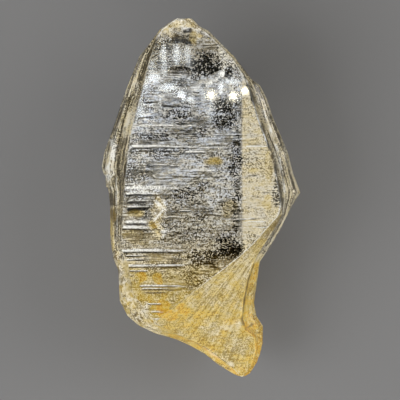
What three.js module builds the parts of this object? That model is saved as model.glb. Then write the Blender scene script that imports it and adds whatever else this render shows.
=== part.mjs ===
import * as THREE from "three";

// One natural quartz crystal, broken from its bed at the foot. It lies on its flat back face:
// +Y runs along the crystal to its tip, +Z is up through the broad front face. Millimetres.
//
// The solid is a cross-section carried along Y. Seven long edges give the corners of every
// cross-section; between two corners lies one face, split into columns and cut with low relief.

// Driving dimensions
const THICKNESS = 22; // rest face to front face
const LIP_GAP = 0.12; // least distance between two neighbouring long edges
const STATION_STEP = 1.25; // cross-sections along plain stretches
const STATION_GAP = 0.11; // closest two cross-sections may lie

// Long edges, each a list of [y, x] from tip to foot
const LEFT_GIRDLE = [
  [30, -4.2], [28.3, -6.7], [23.8, -10.3], [18.2, -12.6], [13.3, -14.3], [8.1, -16.2], [5.6, -16.7],
  [4.5, -16.4], [4, -16], [2.5, -16], [1.7, -15.5], [-1, -15.2], [-6.7, -15.1], [-9.6, -14.7],
  [-11.8, -13.8], [-16.9, -13.6], [-19.4, -12.3], [-21.1, -10.4], [-22.6, -7.6], [-23.6, -4.2],
  [-24.7, -1.9], [-26.2, 0.7], [-28.1, 3], [-29.7, 5.7], [-30, 6.6],
];
const RIGHT_GIRDLE = [
  [30, -1.5], [28.8, -0.3], [28.1, 1.2], [26.3, 3], [23.7, 5.6], [20.9, 7.8], [20.1, 8.4],
  [19.1, 9.8], [16.9, 11], [13.8, 12], [11.3, 13.1], [8.1, 14.5], [4.4, 15.5], [1.3, 16.7],
  [-1, 15.3], [-4.7, 13.5], [-8.1, 11.5], [-10.3, 9.9], [-13.5, 9.5], [-17.4, 9], [-19.7, 9.4],
  [-21.4, 10.5], [-24.4, 10.5], [-27.6, 9.6], [-29.6, 8.3], [-30, 7.4],
];
const FRONT_LEFT = [
  [30, -3.9], [28.3, -6.3], [26.8, -7.3], [22.8, -8.5], [17.4, -9.9], [12.1, -11.3], [8.1, -11.9],
  [2.5, -12.6], [-4.2, -13], [-8.1, -13.2], [-10.1, -12.1], [-15.2, -11.3], [-18.5, -9.2],
  [-20.4, -7.5], [-22.4, -3.9], [-23.6, -1.5], [-24.8, 0.7], [-26.5, 3], [-28.3, 5.2], [-30, 6.8],
];
const FRONT_RIGHT = [
  [30, -1.9], [28.7, -0.7], [27.7, 0.8], [26.2, 2.4], [23.6, 5], [21.4, 6.5], [19.6, 7.7],
  [16.9, 8.5], [13.1, 9.6], [8.4, 11.4], [5.1, 12.3], [1.7, 12.9], [-0.5, 13.3], [-2.4, 13.4],
  [-3.7, 12.8], [-7.8, 10.2], [-10.4, 8.7], [-12.3, 8], [-16.9, 7.1], [-19.9, 6.8], [-21.9, 7.5],
  [-23.1, 9.1], [-25.3, 9.4], [-27.5, 8.8], [-29.3, 7.8], [-30, 7.1],
];
// The front face ends on this line; below and right of it the crystal has broken away.
const BREAK_LINE = [
  [30, 40], [-0.4, 13.2], [-2, 12.9], [-2.7, 12.6], [-4, 11.4], [-7.2, 8.6], [-9.2, 6.5],
  [-11.8, 3.1], [-14.3, -0.2], [-16.9, -3.5], [-19.2, -6.4], [-28.1, -17], [-30, -19.2],
];
const BACK_RIGHT = [
  [30, -2.1], [27.8, -0.2], [25.6, 2], [21.6, 3], [17.4, 6.6], [-9.3, 6.6], [-15.2, 6.2],
  [-20.2, 6.2], [-24.4, 6.9], [-30, 7.1],
];
const BACK_LEFT = [
  [30, -3.6], [26, -5.6], [22, -7.8], [16, -8.8], [6.5, -9.6], [-8.4, -9.6], [-14, -7.6], [-18, -4.4],
  [-21.9, -0.6], [-25.6, 3], [-30, 6.8],
];
// Height of the back: the rest face, a rhombohedral face rising to the tip, and the lifted foot
const BACK_HEIGHT = [[30, 18.8], [27, 17.2], [6.5, 0], [-17, 0], [-20.5, 0.8], [-25, 4.2], [-30, 8.2]];
// How far each girdle lies under its front edge
const LEFT_DROP = [
  [30, 1.2], [26, 2], [20, 3.4], [12, 5.4], [5.6, 6.6], [1, 4.6], [-7, 3.8], [-12, 4.4], [-18, 5.2],
  [-23, 4.8], [-27, 3], [-30, 1.6],
];
const RIGHT_DROP = [
  [30, 1.2], [26, 1.6], [21, 2.4], [14, 4.2], [6, 5.8], [1.3, 6.4], [-4.7, 5.4], [-10, 4.2],
  [-16, 5], [-21, 3.2], [-26, 2.6], [-30, 1.6],
];

// Growth ledges on the front face: a step facing the tip, cut bite deep, that heals towards the tip
const LEDGES = [
  { y: 20.7, from: -6, to: -1.8, bite: 0.2 },
  { y: 12.3, from: -8.6, to: 0.2, bite: 0.2 },
  { y: 8.8, from: -11.2, to: 5.9, bite: 0.3 },
  { y: 5, from: 0.5, to: 4.2, bite: 0.24 },
  { y: 2.1, from: -12.6, to: -1.9, bite: 0.34 },
  { y: 1.1, from: -12.6, to: -4.8, bite: 0.26 },
  { y: -0.4, from: -12.2, to: -7.2, bite: 0.36 },
  { y: -1.5, from: -12.2, to: -7.9, bite: 0.4 },
  { y: -2.9, from: 1.8, to: 11.4, bite: 0.16 },
  { y: -3.4, from: -12.6, to: -8.6, bite: 0.36 },
  { y: -4.4, from: -13, to: -8.2, bite: 0.34 },
  { y: -8.5, from: -13.2, to: -1.4, bite: 0.36 },
  { y: -9.7, from: -12.4, to: -8.2, bite: 0.3 },
  { y: -10.8, from: -12, to: -1.8, bite: 0.3 },
  { y: -14.1, from: -10.2, to: -2.6, bite: 0.26 },
  { y: -16.4, from: -9.2, to: -4.2, bite: 0.24 },
  { y: -19, from: -8.5, to: -6.2, bite: 0.2 },
];
const RISER = 0.2; // length of a ledge's steep side along Y
const HEAL = 2.2; // length over which the face climbs back to its plane
const LEDGE_FADE = 1.4; // a ledge dies out over this length at both ends

// Pits and chips: centre, half sizes and depth
const PITS = [
  { x: -3.2, y: 27.6, rx: 1.7, ry: 1.2, depth: 0.7 },
  { x: -7.2, y: -2.4, rx: 1.5, ry: 1.9, depth: 0.28 },
  { x: 2.2, y: 6.3, rx: 1.6, ry: 0.9, depth: 0.2 },
];

// Columns across each face, from the left girdle over the front and back underneath
const COLUMNS = { band: 1, front: 9, broken: 6, side: 4, rest: 3 };
const TERRACES = [0.34, 0.66]; // where the ridges of a side band lie, as shares of its width
const LEFT_RIDGES = [0.34, -0.1]; // how far those ridges stand out of the band
const RIGHT_RIDGES = [-0.08, 0.3];

const BREAK_TILT = 0.74; // fall of the broken face at its upper edge
const BREAK_HOLLOW = 0.011; // how quickly that fall eases, which dishes the face
const BREAK_LEAN = 0.7; // distance from the break line for each millimetre across
const RIB_HEIGHT = 0.1; // shell-like ribs on the broken face
const RIB_TURN = 0.13; // angle between two ribs, in radians
const RIB_CENTRE = [13.5, -1.5]; // the corner that they fan out from
const ROUGH = 0.2; // lumps on broken surfaces

// Straight runs between the listed points of an edge
function along(points, y) {
  const after = points.findIndex(([at]) => at <= y);
  if (after <= 0) return points[after === 0 ? 0 : points.length - 1][1];
  const [y0, v0] = points[after - 1];
  const [y1, v1] = points[after];
  return v0 + ((v1 - v0) * (y - y0)) / (y1 - y0);
}

// Depth of the broken face under the front plane, 0 on the front face itself
function breakDepth(x, y) {
  const away = Math.max(0, (x - along(BREAK_LINE, y)) * BREAK_LEAN);
  return away * BREAK_TILT - away * away * BREAK_HOLLOW;
}

const frontHeight = (x, y) => THICKNESS - breakDepth(x, y);

// Low lumps, a sum of three crossed waves between -1 and 1
function lumps(x, y) {
  const a = Math.sin(2.3 * x + 1.1 * y);
  const b = Math.sin(1.7 * y - 1.3 * x + 0.8);
  const c = Math.sin(3.9 * x - 2.7 * y + 2.1);
  return (a + b + c) / 3;
}

function ledgeDepth(x, y) {
  let depth = 0;
  for (const { y: at, from, to, bite } of LEDGES) {
    const past = y - at;
    if (past <= -RISER || past >= HEAL) continue;
    const profile = past < 0 ? 1 + past / RISER : 1 - past / HEAL;
    const ends = Math.min((x - from) / LEDGE_FADE, (to - x) / LEDGE_FADE, 1);
    depth = Math.max(depth, bite * profile * Math.max(0, ends));
  }
  return depth;
}

function pitDepth(x, y) {
  let depth = 0;
  for (const pit of PITS) {
    const r = Math.hypot((x - pit.x) / pit.rx, (y - pit.y) / pit.ry);
    depth = Math.max(depth, pit.depth * Math.max(0, 1 - r * r));
  }
  return depth;
}

function ribs(x, y) {
  const angle = Math.atan2(RIB_CENTRE[1] - y, RIB_CENTRE[0] - x);
  return RIB_HEIGHT * Math.sin((angle / RIB_TURN) * Math.PI);
}

// Relief of each face, outwards from its plane; edge is 0 at its corners and 1 inside
const RELIEF = {
  front: (x, y, edge) => -edge * ledgeDepth(x, y) - pitDepth(x, y) * edge,
  broken: (x, y, edge) => edge * (ribs(x, y) + ROUGH * 0.4 * lumps(x, y)),
  side: (x, y, edge) => edge * ROUGH * lumps(x * 0.7, y * 0.8) * (y < -16 || y > 27 ? 1 : 0.3),
  rest: () => 0,
  band: () => 0,
};

// The corners of the cross-section at y, kept in order and at least a lip apart
function corners(y) {
  const leftGirdle = along(LEFT_GIRDLE, y);
  const rightGirdle = along(RIGHT_GIRDLE, y);
  const frontLeft = Math.max(along(FRONT_LEFT, y), leftGirdle + LIP_GAP);
  const frontRight = Math.min(along(FRONT_RIGHT, y), rightGirdle - LIP_GAP);
  const breakLine = THREE.MathUtils.clamp(along(BREAK_LINE, y), frontLeft + LIP_GAP, frontRight - LIP_GAP);
  const backLeft = Math.max(along(BACK_LEFT, y), leftGirdle + 2 * LIP_GAP);
  const backRight = Math.max(Math.min(along(BACK_RIGHT, y), rightGirdle - LIP_GAP), backLeft + LIP_GAP);
  const back = along(BACK_HEIGHT, y);
  const frontLeftZ = frontHeight(frontLeft, y);
  const frontRightZ = frontHeight(frontRight, y);
  return {
    leftGirdle: [leftGirdle, frontLeftZ - along(LEFT_DROP, y)],
    frontLeft: [frontLeft, frontLeftZ],
    breakLine: [breakLine, frontHeight(breakLine, y)],
    frontRight: [frontRight, frontRightZ],
    rightGirdle: [rightGirdle, frontRightZ - along(RIGHT_DROP, y)],
    backRight: [backRight, back],
    backLeft: [backLeft, back],
  };
}

// A point on the band between two corners, with the ridge's height added square to the band
function ridgePoint([x0, z0], [x1, z1], share, height) {
  const width = Math.hypot(x1 - x0, z1 - z0);
  const stand = height * Math.min(1, width / 3);
  return [
    x0 + (x1 - x0) * share - ((z1 - z0) / width) * stand,
    z0 + (z1 - z0) * share + ((x1 - x0) / width) * stand,
  ];
}

// The faces of one cross-section, in order round it: [first corner, last corner, kind]
function facesAt(y) {
  const c = corners(y);
  const left = TERRACES.map((t, i) => ridgePoint(c.leftGirdle, c.frontLeft, t, LEFT_RIDGES[i]));
  const right = TERRACES.map((t, i) => ridgePoint(c.frontRight, c.rightGirdle, t, RIGHT_RIDGES[i]));
  return [
    [c.leftGirdle, left[0], "band"],
    [left[0], left[1], "band"],
    [left[1], c.frontLeft, "band"],
    [c.frontLeft, c.breakLine, "front"],
    [c.breakLine, c.frontRight, "broken"],
    [c.frontRight, right[0], "band"],
    [right[0], right[1], "band"],
    [right[1], c.rightGirdle, "band"],
    [c.rightGirdle, c.backRight, "side"],
    [c.backRight, c.backLeft, "rest"],
    [c.backLeft, c.leftGirdle, "side"],
  ];
}

// One closed ring of points at y
function ring(y) {
  const points = [];
  for (const [[x0, z0], [x1, z1], kind] of facesAt(y)) {
    const width = Math.hypot(x1 - x0, z1 - z0);
    const out = [-(z1 - z0) / width, (x1 - x0) / width];
    for (let i = 0; i < COLUMNS[kind]; i++) {
      const t = i / COLUMNS[kind];
      const x = x0 + (x1 - x0) * t;
      const onTop = kind === "front" || kind === "broken";
      const z = onTop ? frontHeight(x, y) : z0 + (z1 - z0) * t;
      const edge = Math.min(1, (2 * Math.min(t, 1 - t) * width) / 1.2);
      const relief = RELIEF[kind](x, y, edge) * (onTop || width > 1 ? 1 : 0);
      points.push(onTop ? [x, y, z + relief] : [x + out[0] * relief, y, z + out[1] * relief]);
    }
  }
  return points;
}

// Cross-sections lie at every bend of an outline, at both sides of each ledge and evenly between
function stations() {
  const wanted = [30, -30];
  for (const { y } of LEDGES) wanted.push(y, y - RISER);
  for (const edge of [LEFT_GIRDLE, RIGHT_GIRDLE]) wanted.push(...edge.map(([y]) => y));
  for (let y = 30 - STATION_STEP; y > -30; y -= STATION_STEP) wanted.push(y);
  const kept = [];
  for (const y of wanted) if (kept.every((other) => Math.abs(other - y) > STATION_GAP)) kept.push(y);
  return kept.sort((a, b) => b - a);
}

function quartzGeometry() {
  const rings = stations().map(ring);
  const round = rings[0].length;
  const faces = [];
  for (let row = 0; row + 1 < rings.length; row++) {
    for (let i = 0; i < round; i++) {
      const a = row * round + i;
      const b = row * round + ((i + 1) % round);
      faces.push(b, a, a + round, b + round, b, a + round);
    }
  }
  const points = rings.flat();
  const cap = (row, turned) => {
    const centre = rings[row].reduce((sum, p) => sum.map((v, k) => v + p[k] / round), [0, 0, 0]);
    const middle = points.push(centre) - 1;
    for (let i = 0; i < round; i++) {
      const a = row * round + i;
      const b = row * round + ((i + 1) % round);
      faces.push(...(turned ? [a, b, middle] : [b, a, middle]));
    }
  };
  cap(0, true);
  cap(rings.length - 1, false);
  const geometry = new THREE.BufferGeometry();
  geometry.setAttribute("position", new THREE.Float32BufferAttribute(points.flat(), 3));
  geometry.setIndex(faces);
  geometry.computeBoundingBox();
  const { min, max } = geometry.boundingBox;
  geometry.translate(-(min.x + max.x) / 2, -(min.y + max.y) / 2, -min.z);
  geometry.computeVertexNormals();
  return geometry;
}

const quartz = new THREE.MeshStandardMaterial({ color: 0xe4dfd0, roughness: 0.12, metalness: 0 });
const crystal = new THREE.Mesh(quartzGeometry(), quartz);
crystal.name = "quartz_crystal";

const part = new THREE.Group();
part.add(crystal);

export default part;
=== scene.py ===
"""Looks for a natural clear quartz crystal with a ledged front face and an iron-stained, broken foot."""

import math

import bpy
import numpy as np
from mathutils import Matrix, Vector


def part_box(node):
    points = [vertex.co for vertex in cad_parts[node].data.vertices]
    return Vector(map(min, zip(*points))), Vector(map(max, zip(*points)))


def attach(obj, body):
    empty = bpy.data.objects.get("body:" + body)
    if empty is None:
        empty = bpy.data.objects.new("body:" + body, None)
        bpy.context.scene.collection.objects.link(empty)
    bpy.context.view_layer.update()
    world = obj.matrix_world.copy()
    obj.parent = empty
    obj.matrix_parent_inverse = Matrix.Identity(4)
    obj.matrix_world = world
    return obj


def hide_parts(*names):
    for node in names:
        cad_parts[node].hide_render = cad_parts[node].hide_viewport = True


bl_info = {
    "name": "Clear quartz crystal",
    "version": (1, 0, 0),
    "blender": (4, 5, 0),
    "location": "3D View > Sidebar > Quartz",
    "description": "Builds a natural quartz crystal round its packed solid, and a soft-lit stage for it",
    "category": "Object",
}

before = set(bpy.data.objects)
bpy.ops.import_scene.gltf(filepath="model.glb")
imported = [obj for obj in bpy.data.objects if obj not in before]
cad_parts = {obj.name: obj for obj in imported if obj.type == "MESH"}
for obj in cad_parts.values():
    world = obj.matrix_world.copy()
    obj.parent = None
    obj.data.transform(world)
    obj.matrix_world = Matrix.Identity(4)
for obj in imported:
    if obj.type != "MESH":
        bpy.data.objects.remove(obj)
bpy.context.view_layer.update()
NODE = "quartz_crystal"
LOW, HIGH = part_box(NODE)

# ---------------------------------------------------------------- sizes
# Shapes are worked out in the crystal's own millimetres, 60 from foot to tip, with the broad
# front face up, and then carried to metres and to the solid's box.
MM = 0.001
LENGTH = 60.0
THICKNESS = 22.0
SCALE = (HIGH.y - LOW.y) / LENGTH
RNG_SEED = 11

# Long edges as [y, x], from tip to foot
LEFT_GIRDLE = [
    [30, -4.2], [28.3, -6.7], [23.8, -10.3], [18.2, -12.6], [13.3, -14.3], [8.1, -16.2], [5.6, -16.7],
    [4.5, -16.4], [4, -16], [2.5, -16], [1.7, -15.5], [-1, -15.2], [-6.7, -15.1], [-9.6, -14.7],
    [-11.8, -13.8], [-16.9, -13.6], [-19.4, -12.3], [-21.1, -10.4], [-22.6, -7.6], [-23.6, -4.2],
    [-24.7, -1.9], [-26.2, 0.7], [-28.1, 3], [-29.7, 5.7], [-30, 6.6],
]
RIGHT_GIRDLE = [
    [30, -1.5], [28.8, -0.3], [28.1, 1.2], [26.3, 3], [23.7, 5.6], [20.9, 7.8], [20.1, 8.4], [19.1, 9.8],
    [16.9, 11], [13.8, 12], [11.3, 13.1], [8.1, 14.5], [4.4, 15.5], [1.3, 16.7], [-1, 15.3],
    [-4.7, 13.5], [-8.1, 11.5], [-10.3, 9.9], [-13.5, 9.5], [-17.4, 9], [-19.7, 9.4], [-21.4, 10.5],
    [-24.4, 10.5], [-27.6, 9.6], [-29.6, 8.3], [-30, 7.4],
]
FRONT_LEFT = [
    [30, -3.9], [28.3, -6.3], [26.8, -7.3], [22.8, -8.5], [17.4, -9.9], [12.1, -11.3], [8.1, -11.9],
    [2.5, -12.6], [-4.2, -13], [-8.1, -13.2], [-10.1, -12.1], [-15.2, -11.3], [-18.5, -9.2],
    [-20.4, -7.5], [-22.4, -3.9], [-23.6, -1.5], [-24.8, 0.7], [-26.5, 3], [-28.3, 5.2], [-30, 6.8],
]
FRONT_RIGHT = [
    [30, -1.9], [28.7, -0.7], [27.7, 0.8], [26.2, 2.4], [23.6, 5], [21.4, 6.5], [19.6, 7.7], [16.9, 8.5],
    [13.1, 9.6], [8.4, 11.4], [5.1, 12.3], [1.7, 12.9], [-0.5, 13.3], [-2.4, 13.4], [-3.7, 12.8],
    [-7.8, 10.2], [-10.4, 8.7], [-12.3, 8], [-16.9, 7.1], [-19.9, 6.8], [-21.9, 7.5], [-23.1, 9.1],
    [-25.3, 9.4], [-27.5, 8.8], [-29.3, 7.8], [-30, 7.1],
]
BREAK_LINE = [
    [30, 40], [-0.4, 13.2], [-2, 12.9], [-2.7, 12.6], [-4, 11.4], [-7.2, 8.6], [-9.2, 6.5], [-11.8, 3.1],
    [-14.3, -0.2], [-16.9, -3.5], [-19.2, -6.4], [-28.1, -17], [-30, -19.2],
]
BACK_RIGHT = [
    [30, -2.1], [27.8, -0.2], [25.6, 2], [21.6, 3], [17.4, 6.6], [-9.3, 6.6], [-15.2, 6.2], [-20.2, 6.2],
    [-24.4, 6.9], [-30, 7.1],
]
BACK_LEFT = [
    [30, -3.6], [26, -5.6], [22, -7.8], [16, -8.8], [6.5, -9.6], [-8.4, -9.6], [-14, -7.6], [-18, -4.4],
    [-21.9, -0.6], [-25.6, 3], [-30, 6.8],
]
# Height of the back faces over the rest face, and how far each girdle lies under the front, by y
BACK_HEIGHT = [[30, 18.8], [27, 17.2], [6.5, 0], [-17, 0], [-20.5, 0.8], [-25, 4.2], [-30, 8.2]]
LEFT_DROP = [
    [30, 1.2], [26, 2], [20, 3.4], [12, 5.4], [5.6, 6.6], [1, 4.6], [-7, 3.8], [-12, 4.4], [-18, 5.2],
    [-23, 4.8], [-27, 3], [-30, 1.6],
]
RIGHT_DROP = [
    [30, 1.2], [26, 1.6], [21, 2.4], [14, 4.2], [6, 5.8], [1.3, 6.4], [-4.7, 5.4], [-10, 4.2], [-16, 5],
    [-21, 3.2], [-26, 2.6], [-30, 1.6],
]
LIP_GAP = 0.12

# Growth ledges on the front face: y of the step, x from and to, depth of the bite, and the widths
# of the painted highlight on the riser and of the painted shade at the foot under it
LEDGES = [
    [20.7, -5.4, -1.6, 0.12, 0.2, 0.1], [16.2, -9.6, -7, 0.1, 0, 0.24], [15.6, -6.6, -3.3, 0.1, 0, 0.24],
    [12.3, -10.4, 0.2, 0.14, 0.3, 0.1], [8.9, -11.6, -1.9, 0.2, 0.44, 0.14],
    [8.7, -2.4, 5.4, 0.14, 0.22, 0.1], [8, -2.8, 0.8, 0.14, 0.34, 0.16], [8.9, 7.4, 11.4, 0.1, 0.2, 0],
    [5.7, -8.4, -2.6, 0.1, 0.1, 0.16], [4.9, 0.8, 2.7, 0.14, 0.26, 0], [2.6, -13, -10, 0.16, 0.24, 0.1],
    [2, -12.6, -2.5, 0.22, 0.6, 0], [1.1, -12.6, -6.2, 0.18, 0.36, 0.3],
    [-0.1, -12.2, -8.4, 0.2, 0.2, 0.4], [-1.1, -12.4, -8.4, 0.24, 0.24, 0.6],
    [-1.7, -3.7, -0.8, 0.12, 0.14, 0.14], [-3.1, 2.8, 12, 0.1, 0.14, 0.06],
    [-3.6, -12.6, -8.6, 0.22, 0.5, 0.3], [-3.6, 6.8, 11, 0.1, 0.12, 0], [-4.5, -13, -8.2, 0.2, 0.5, 0.2],
    [-4.5, 8.3, 11.3, 0.1, 0.12, 0], [-5.3, -7, -4.8, 0.1, 0.18, 0.14],
    [-8.3, -13.3, -1.8, 0.24, 0.46, 0.2], [-9.1, -12.4, -8.6, 0.16, 0.16, 0.2],
    [-9.8, -12.4, -8.6, 0.16, 0.16, 0.2], [-10.8, -12.2, -1.8, 0.2, 0.36, 0.2],
    [-11.6, -12, -8.6, 0.14, 0.14, 0.18], [-14.2, -10.2, -2, 0.18, 0.22, 0.12],
    [-14.7, -10, -4, 0.12, 0.12, 0.2], [-15.3, -9.4, -5.4, 0.12, 0, 0.2],
    [-17.2, -8.9, -6.4, 0.12, 0.16, 0.12], [-18.5, -8.5, -6, 0.12, 0.16, 0.12],
    [-19.6, -8, -5.6, 0.12, 0.14, 0.1],
]
RISER_HIGHLIGHT_COLUMN, FOOT_SHADE_COLUMN = 4, 5
RISER = 0.1
HEAL = 1.3
LEDGE_FADE = 1.4
# Seeded shallow ledges: how many, ranges of y, middle, half length and bite, and their profile
FINE_LEDGES = 150
FINE_RANGES = [(-28, 27), (-13, 13), (1.5, 7), (0.015, 0.06)]
FINE_PROFILE = (0.08, 0.9, 1.0)

# Pits and chips: x, y, half width, half length, depth
PITS = [[-3.2, 27.6, 1.7, 1.2, 0.7], [-7.2, -2.4, 1.5, 1.9, 0.28], [2.2, 6.3, 1.6, 0.9, 0.2]]

BREAK_TILT = 0.74
BREAK_HOLLOW = 0.011
BREAK_LEAN = 0.7
RIB_CENTRE = [13.5, -1.5]
RIB_TURN = 0.055
FINE_RIB_PITCH = 2.6
FINE_RIB_SHARE = 0.5
FAN_REACH = 24.0
BAND_PITCH = 1.5

# Grid: rows from tip to foot, and columns across each face
ROWS = 430
COLUMNS = {"band": 6, "front": 104, "broken": 36, "side": 14, "rest": 16}
# Ridges of the side bands: shares of the band's width, how far each stands out, and the width of
# band at which it stands out fully
TERRACES = [0.34, 0.66]
LEFT_RIDGES = [0.34, -0.1]
RIGHT_RIDGES = [-0.08, 0.3]
RIDGED_WIDTH = 3.0

# Relief in mm. Relief dies out within the margin of a long edge.
RELIEF_MARGIN = 0.3
TIP_CRUST = 0.25
RIB_HEIGHT = 0.07
BAND_STEP = 0.16
BAND_STEP_COUNT = 2.2
REST_ETCH = 0.02
REST_LEDGE_SHARE = 0.6
# On a steep face a pattern runs over x times a squeeze, plus a span in mm across the face
LUMP_SPAN = 9
CRUST_SPAN, CRUST_SQUEEZE = 5, 2
SIDE_SPAN, SIDE_SQUEEZE = 7, 0.5
REST_SHIFT = 3

# Noise: how high it is, the size of its largest lumps in mm, its seed, and its octaves where those
# aren't four
LATTICE_POINTS = 64
LATTICE_START = (31.7, 17.3)
LEDGE_WANDER = (0.1, 1.6, 71, 1)
RIB_BEND = (1.05, 5, 5, 1)
TIP_LUMPS = (0.35, 1.1, 33)
BREAK_LUMPS = (0.09, 1.3, 41)
BAND_STEP_WANDER = (0.5, 7, 3, 1)
BAND_LUMPS = (0.05, 1.5, 9, 1)
BAND_CRUST = (0.16, 1.2, 61)
SIDE_LUMPS = (0.02, 1.1, 81)
SIDE_CRUST = (0.22, 2.2, 91)
REST_LUMPS = (0.02, 1.4, 51)
PATCH_RIM = (0.4, 1.9, 57)
CRUMB_RIM = (0.4, 1.3, 37, 3)
CRUMB_STAIN = (0.3, 1.3, 77, 3)
VEIN_RIM = (0.34, 0.9, 23, 3)
# Gaps in lines: the mean and the least of what is left, and noise as above
VEIN_GAPS = (0.85, 0.1, (1.2, 1, 87, 3))
LEDGE_GAPS = (1.3, 0.3, (0.8, 1.1, 15, 3))
EDGE_GAPS = (0.6, 0.1, (0.7, 2.4, 29, 3))
LEDGE_GAP_STEP = 7

# ---------------------------------------------------------------- looks
# Patches as x, y, half width, half length and strength: iron stains near the surface
STAINS = [
    [-3.6, 29.3, 2.8, 0.8, 0.45], [-1.2, 26.7, 0.8, 1.2, 0.5], [-7.3, -3.2, 1.3, 2.8, 0.42],
    [2.2, 6.3, 1.5, 0.7, 0.6], [4.9, -1.3, 1.2, 1.4, 0.3], [-10.6, -2.2, 1.8, 0.8, 0.52],
    [-9.9, -6.2, 3, 2.2, 0.36], [-7.3, -12.5, 1.2, 1.6, 0.82], [-7.2, -9.6, 1.5, 1.3, 0.45],
    [-9.6, -12.8, 1.1, 1.2, 0.82], [-6.3, -17, 1.3, 2.4, 0.92], [-4.9, -19, 1.1, 1.1, 0.92],
    [-3, -17.9, 1.1, 1.4, 0.84], [-14.8, -5.6, 0.8, 4.4, 0.66], [11.3, 6.2, 1, 2.6, 0.4],
    [11, -0.6, 0.8, 1.6, 0.42], [8.7, 5, 1.5, 0.5, 0.4], [4, -21.6, 2.2, 0.8, 0.55],
    [-11.6, -16, 1.6, 5, 0.4],
]
# Milky, finely bruised quartz
BRUISES = [
    [-5.2, 18.2, 4.2, 2, 0.62], [-8.8, 14.4, 1.3, 2.8, 0.8], [1.8, 18, 2.2, 2.2, 0.55],
    [4.3, 24.4, 1.7, 3.2, 0.65], [-9.6, 1.4, 2.8, 1.2, 0.8], [-10.4, 6.6, 1.2, 2.2, 0.5],
    [-0.8, 5, 1.6, 2.6, 0.6], [-6.6, -1, 1.6, 1.3, 1], [-7.3, -3.8, 1.9, 2.8, 1],
    [-12.8, -13.6, 1.8, 6.2, 1], [-3, 29.4, 4, 1.2, 1], [-15.2, 5.2, 0.9, 4, 0.9],
    [14.8, 2.4, 1.2, 2.6, 0.9], [-8.4, 7.6, 3.2, 1.6, 0.55], [3, -26.5, 2.6, 1.6, 0.6],
    [9.8, 9.2, 1.8, 1.8, 0.5],
]
# Painted shade: patches painted dark into the colour of the clear quartz
PAINTED_SHADE_PATCHES = [
    [0.5, 21.8, 2.3, 1.7, 1.3], [1.1, 23.9, 1.4, 0.5, 1.1], [-2.2, 21.9, 1.8, 1, 0.9],
    [-0.8, 20.2, 1.2, 0.8, 0.95], [-5.4, 22.9, 1.2, 0.8, 0.5], [0.8, 25.3, 2, 0.5, 0.6],
    [4.5, 20.9, 0.8, 1, 1.2], [-3.8, 21.8, 2, 1.4, 0.5], [-3.1, 26.8, 1.4, 0.6, 1.3],
    [-7.2, 23, 1.6, 1.6, 0.4], [3.9, 14, 2.8, 2.4, 0.85], [-3.6, 14.4, 2.2, 1.8, 0.55],
    [-6.2, 10.6, 3.6, 0.9, 0.6], [5.8, 5, 0.8, 12, 0.65], [5.1, 4.9, 0.7, 1, 0.9],
    [4.9, -7.6, 1.8, 2.2, 0.92], [12.6, 0.8, 0.7, 2.2, 0.9], [0.6, -9.6, 2.2, 1.6, 0.75],
    [-1, -12.6, 3.2, 1.6, 0.4], [-4.4, -10.2, 1.4, 1.2, 0.5], [-9.8, -0.6, 1.6, 0.5, 0.8],
    [-2.2, 8.2, 2.4, 0.9, 0.45], [-6.6, 8, 1.5, 0.6, 0.5], [-3.2, 1, 2.9, 1.4, 0.45],
]
# Where a patch ends, as a share of its half size, and how steeply it comes in from there
PATCH_EDGE = 1.2
PATCH_SLOPE = 1.8
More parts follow.
